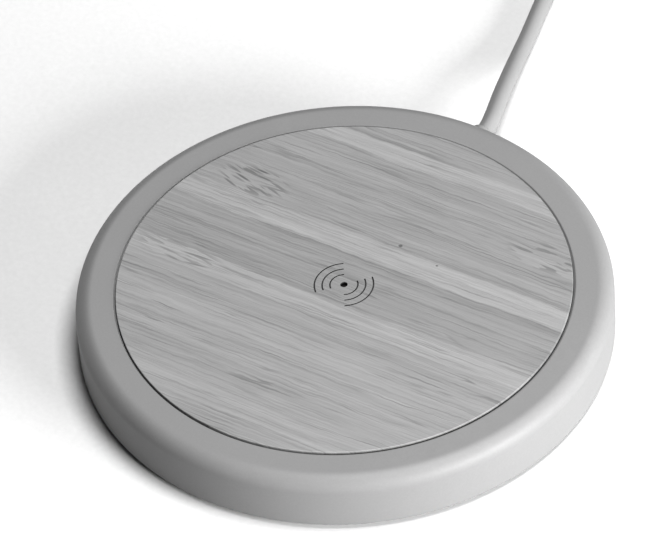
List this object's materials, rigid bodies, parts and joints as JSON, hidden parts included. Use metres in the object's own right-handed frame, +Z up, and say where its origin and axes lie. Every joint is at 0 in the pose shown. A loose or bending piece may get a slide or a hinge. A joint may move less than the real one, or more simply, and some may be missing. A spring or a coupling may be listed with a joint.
{
  "type": "wireless charging pad",
  "caption": "Round desktop wireless charging pad with a wood-faced top, a moulded ring housing and a captive USB lead that ends in a tied coil and plug.",
  "frame": {"origin": "centre of the pad's round footprint, on the surface it stands on", "axes": "+Z up through the charging face, +Y towards the side the lead leaves by, X along the wood grain"},
  "size_m": [0.1244, 0.2151, 0.012],
  "materials": {
    "housing": "fine satin moulding, neutral grey",
    "cover": "fine spark-eroded texture",
    "foot": "soft silicone",
    "bamboo": "laminated bamboo, oiled, grey-toned",
    "glue_film": "translucent adhesive film",
    "screw_steel": "zinc plated",
    "copper_litz": "enamelled stranded copper",
    "ferrite": "sintered ferrite sheet",
    "sensor": "epoxy bead",
    "board": "solder mask",
    "chip_black": "moulded epoxy",
    "ceramic_tan": "sintered ceramic with tinned ends",
    "led_clear": "clear epoxy",
    "smoked": "smoked acrylic",
    "cord_jacket": "satin PVC jacket",
    "grommet_rubber": "moulded soft PVC",
    "clamp_plastic": "natural nylon",
    "wire_red": "PVC insulation",
    "wire_black": "PVC insulation",
    "tie_strap": "hook-and-loop strap",
    "plug_grip": "satin overmould",
    "plug_metal": "nickel-plated steel",
    "plug_insulator": "white nylon",
    "gold_contact": "gold plated"
  },
  "bodies": {
    "root": {"upper_housing": "housing", "bottom_cover": "cover", "foot_ring": "foot", "cover_screws": "screw_steel", "top_inlay": "bamboo", "inlay_adhesive": "glue_film", "charging_coil": "copper_litz", "coil_leads": "copper_litz", "coil_adhesive": "glue_film", "ferrite_shield": "ferrite", "thermistor": "sensor", "main_board": "board", "board_screws": "screw_steel", "controller_chip": "chip_black", "bridge_transistors": "chip_black", "resonant_capacitors": "ceramic_tan", "input_capacitors": "ceramic_tan", "power_inductor": "ferrite", "chip_passives": "ceramic_tan", "status_led": "led_clear", "light_pipe": "smoked", "strain_relief": "grommet_rubber", "cord_inner_end": "cord_jacket", "cable_clamp": "clamp_plastic", "clamp_screws": "screw_steel", "lead_wire_positive": "wire_red", "lead_wire_negative": "wire_black", "cord": "cord_jacket", "cord_coil": "cord_jacket", "cord_end": "cord_jacket", "cord_tie": "tie_strap", "plug_overmould": "plug_grip", "plug_shell": "plug_metal", "plug_tongue": "plug_insulator", "plug_contacts": "gold_contact"}
  },
  "joints": []
}
